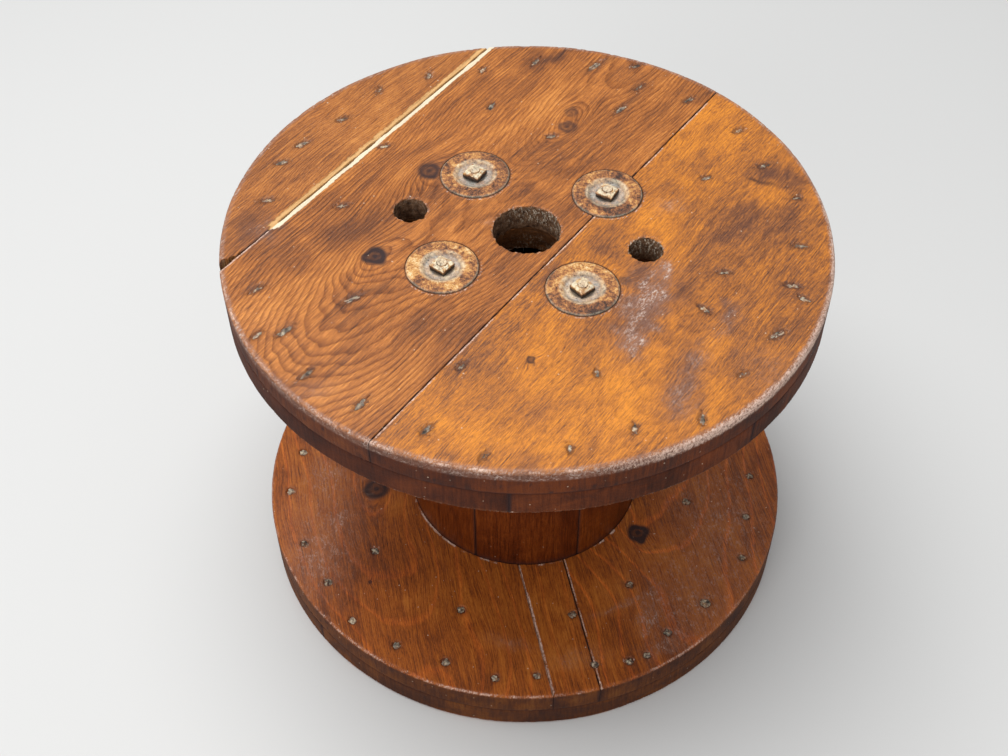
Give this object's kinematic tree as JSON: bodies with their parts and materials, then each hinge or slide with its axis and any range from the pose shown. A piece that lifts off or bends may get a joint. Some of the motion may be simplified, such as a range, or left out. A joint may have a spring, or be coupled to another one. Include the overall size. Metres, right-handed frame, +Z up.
{
  "type": "cable drum",
  "caption": "Wooden cable drum with two flat round flanges of crossed boards on a hollow stave barrel, a through spindle hole, drive holes and cup-washered tie bolts.",
  "frame": {"origin": "centre of the bottom face, where the drum's axis meets the floor", "axes": "+Z up along the drum's axis to the face with the nuts, +X through a drive hole"},
  "size_m": [0.4572, 0.4572, 0.348],
  "materials": {
    "top_flange": "worn orange-brown varnish over softwood boards",
    "bottom_flange": "worn red-brown varnish over softwood boards",
    "barrel": "semi-gloss dark red-brown varnish",
    "washers": "tan and orange rust over pressed steel",
    "bolts_and_nuts": "worn rusty steel"
  },
  "bodies": {
    "root": {"top_flange_outer_board_1": "top_flange", "top_flange_outer_board_2": "top_flange", "top_flange_outer_board_3": "top_flange", "top_flange_inner_board_1": "top_flange", "top_flange_inner_board_2": "top_flange", "top_flange_inner_board_3": "top_flange", "top_flange_inner_board_4": "top_flange", "bottom_flange_inner_board_1": "bottom_flange", "bottom_flange_inner_board_2": "bottom_flange", "bottom_flange_inner_board_3": "bottom_flange", "bottom_flange_outer_board_1": "bottom_flange", "bottom_flange_outer_board_2": "bottom_flange", "bottom_flange_outer_board_3": "bottom_flange", "barrel_stave_1": "barrel", "barrel_stave_2": "barrel", "barrel_stave_3": "barrel", "barrel_stave_4": "barrel", "barrel_stave_5": "barrel", "barrel_stave_6": "barrel", "barrel_stave_7": "barrel", "tie_bolt_1": "bolts_and_nuts", "tie_bolt_nut_1": "bolts_and_nuts", "top_washer_1": "washers", "bottom_washer_1": "washers", "tie_bolt_2": "bolts_and_nuts", "tie_bolt_nut_2": "bolts_and_nuts", "top_washer_2": "washers", "bottom_washer_2": "washers", "tie_bolt_3": "bolts_and_nuts", "tie_bolt_nut_3": "bolts_and_nuts", "top_washer_3": "washers", "bottom_washer_3": "washers", "tie_bolt_4": "bolts_and_nuts", "tie_bolt_nut_4": "bolts_and_nuts", "top_washer_4": "washers", "bottom_washer_4": "washers"}
  },
  "joints": []
}
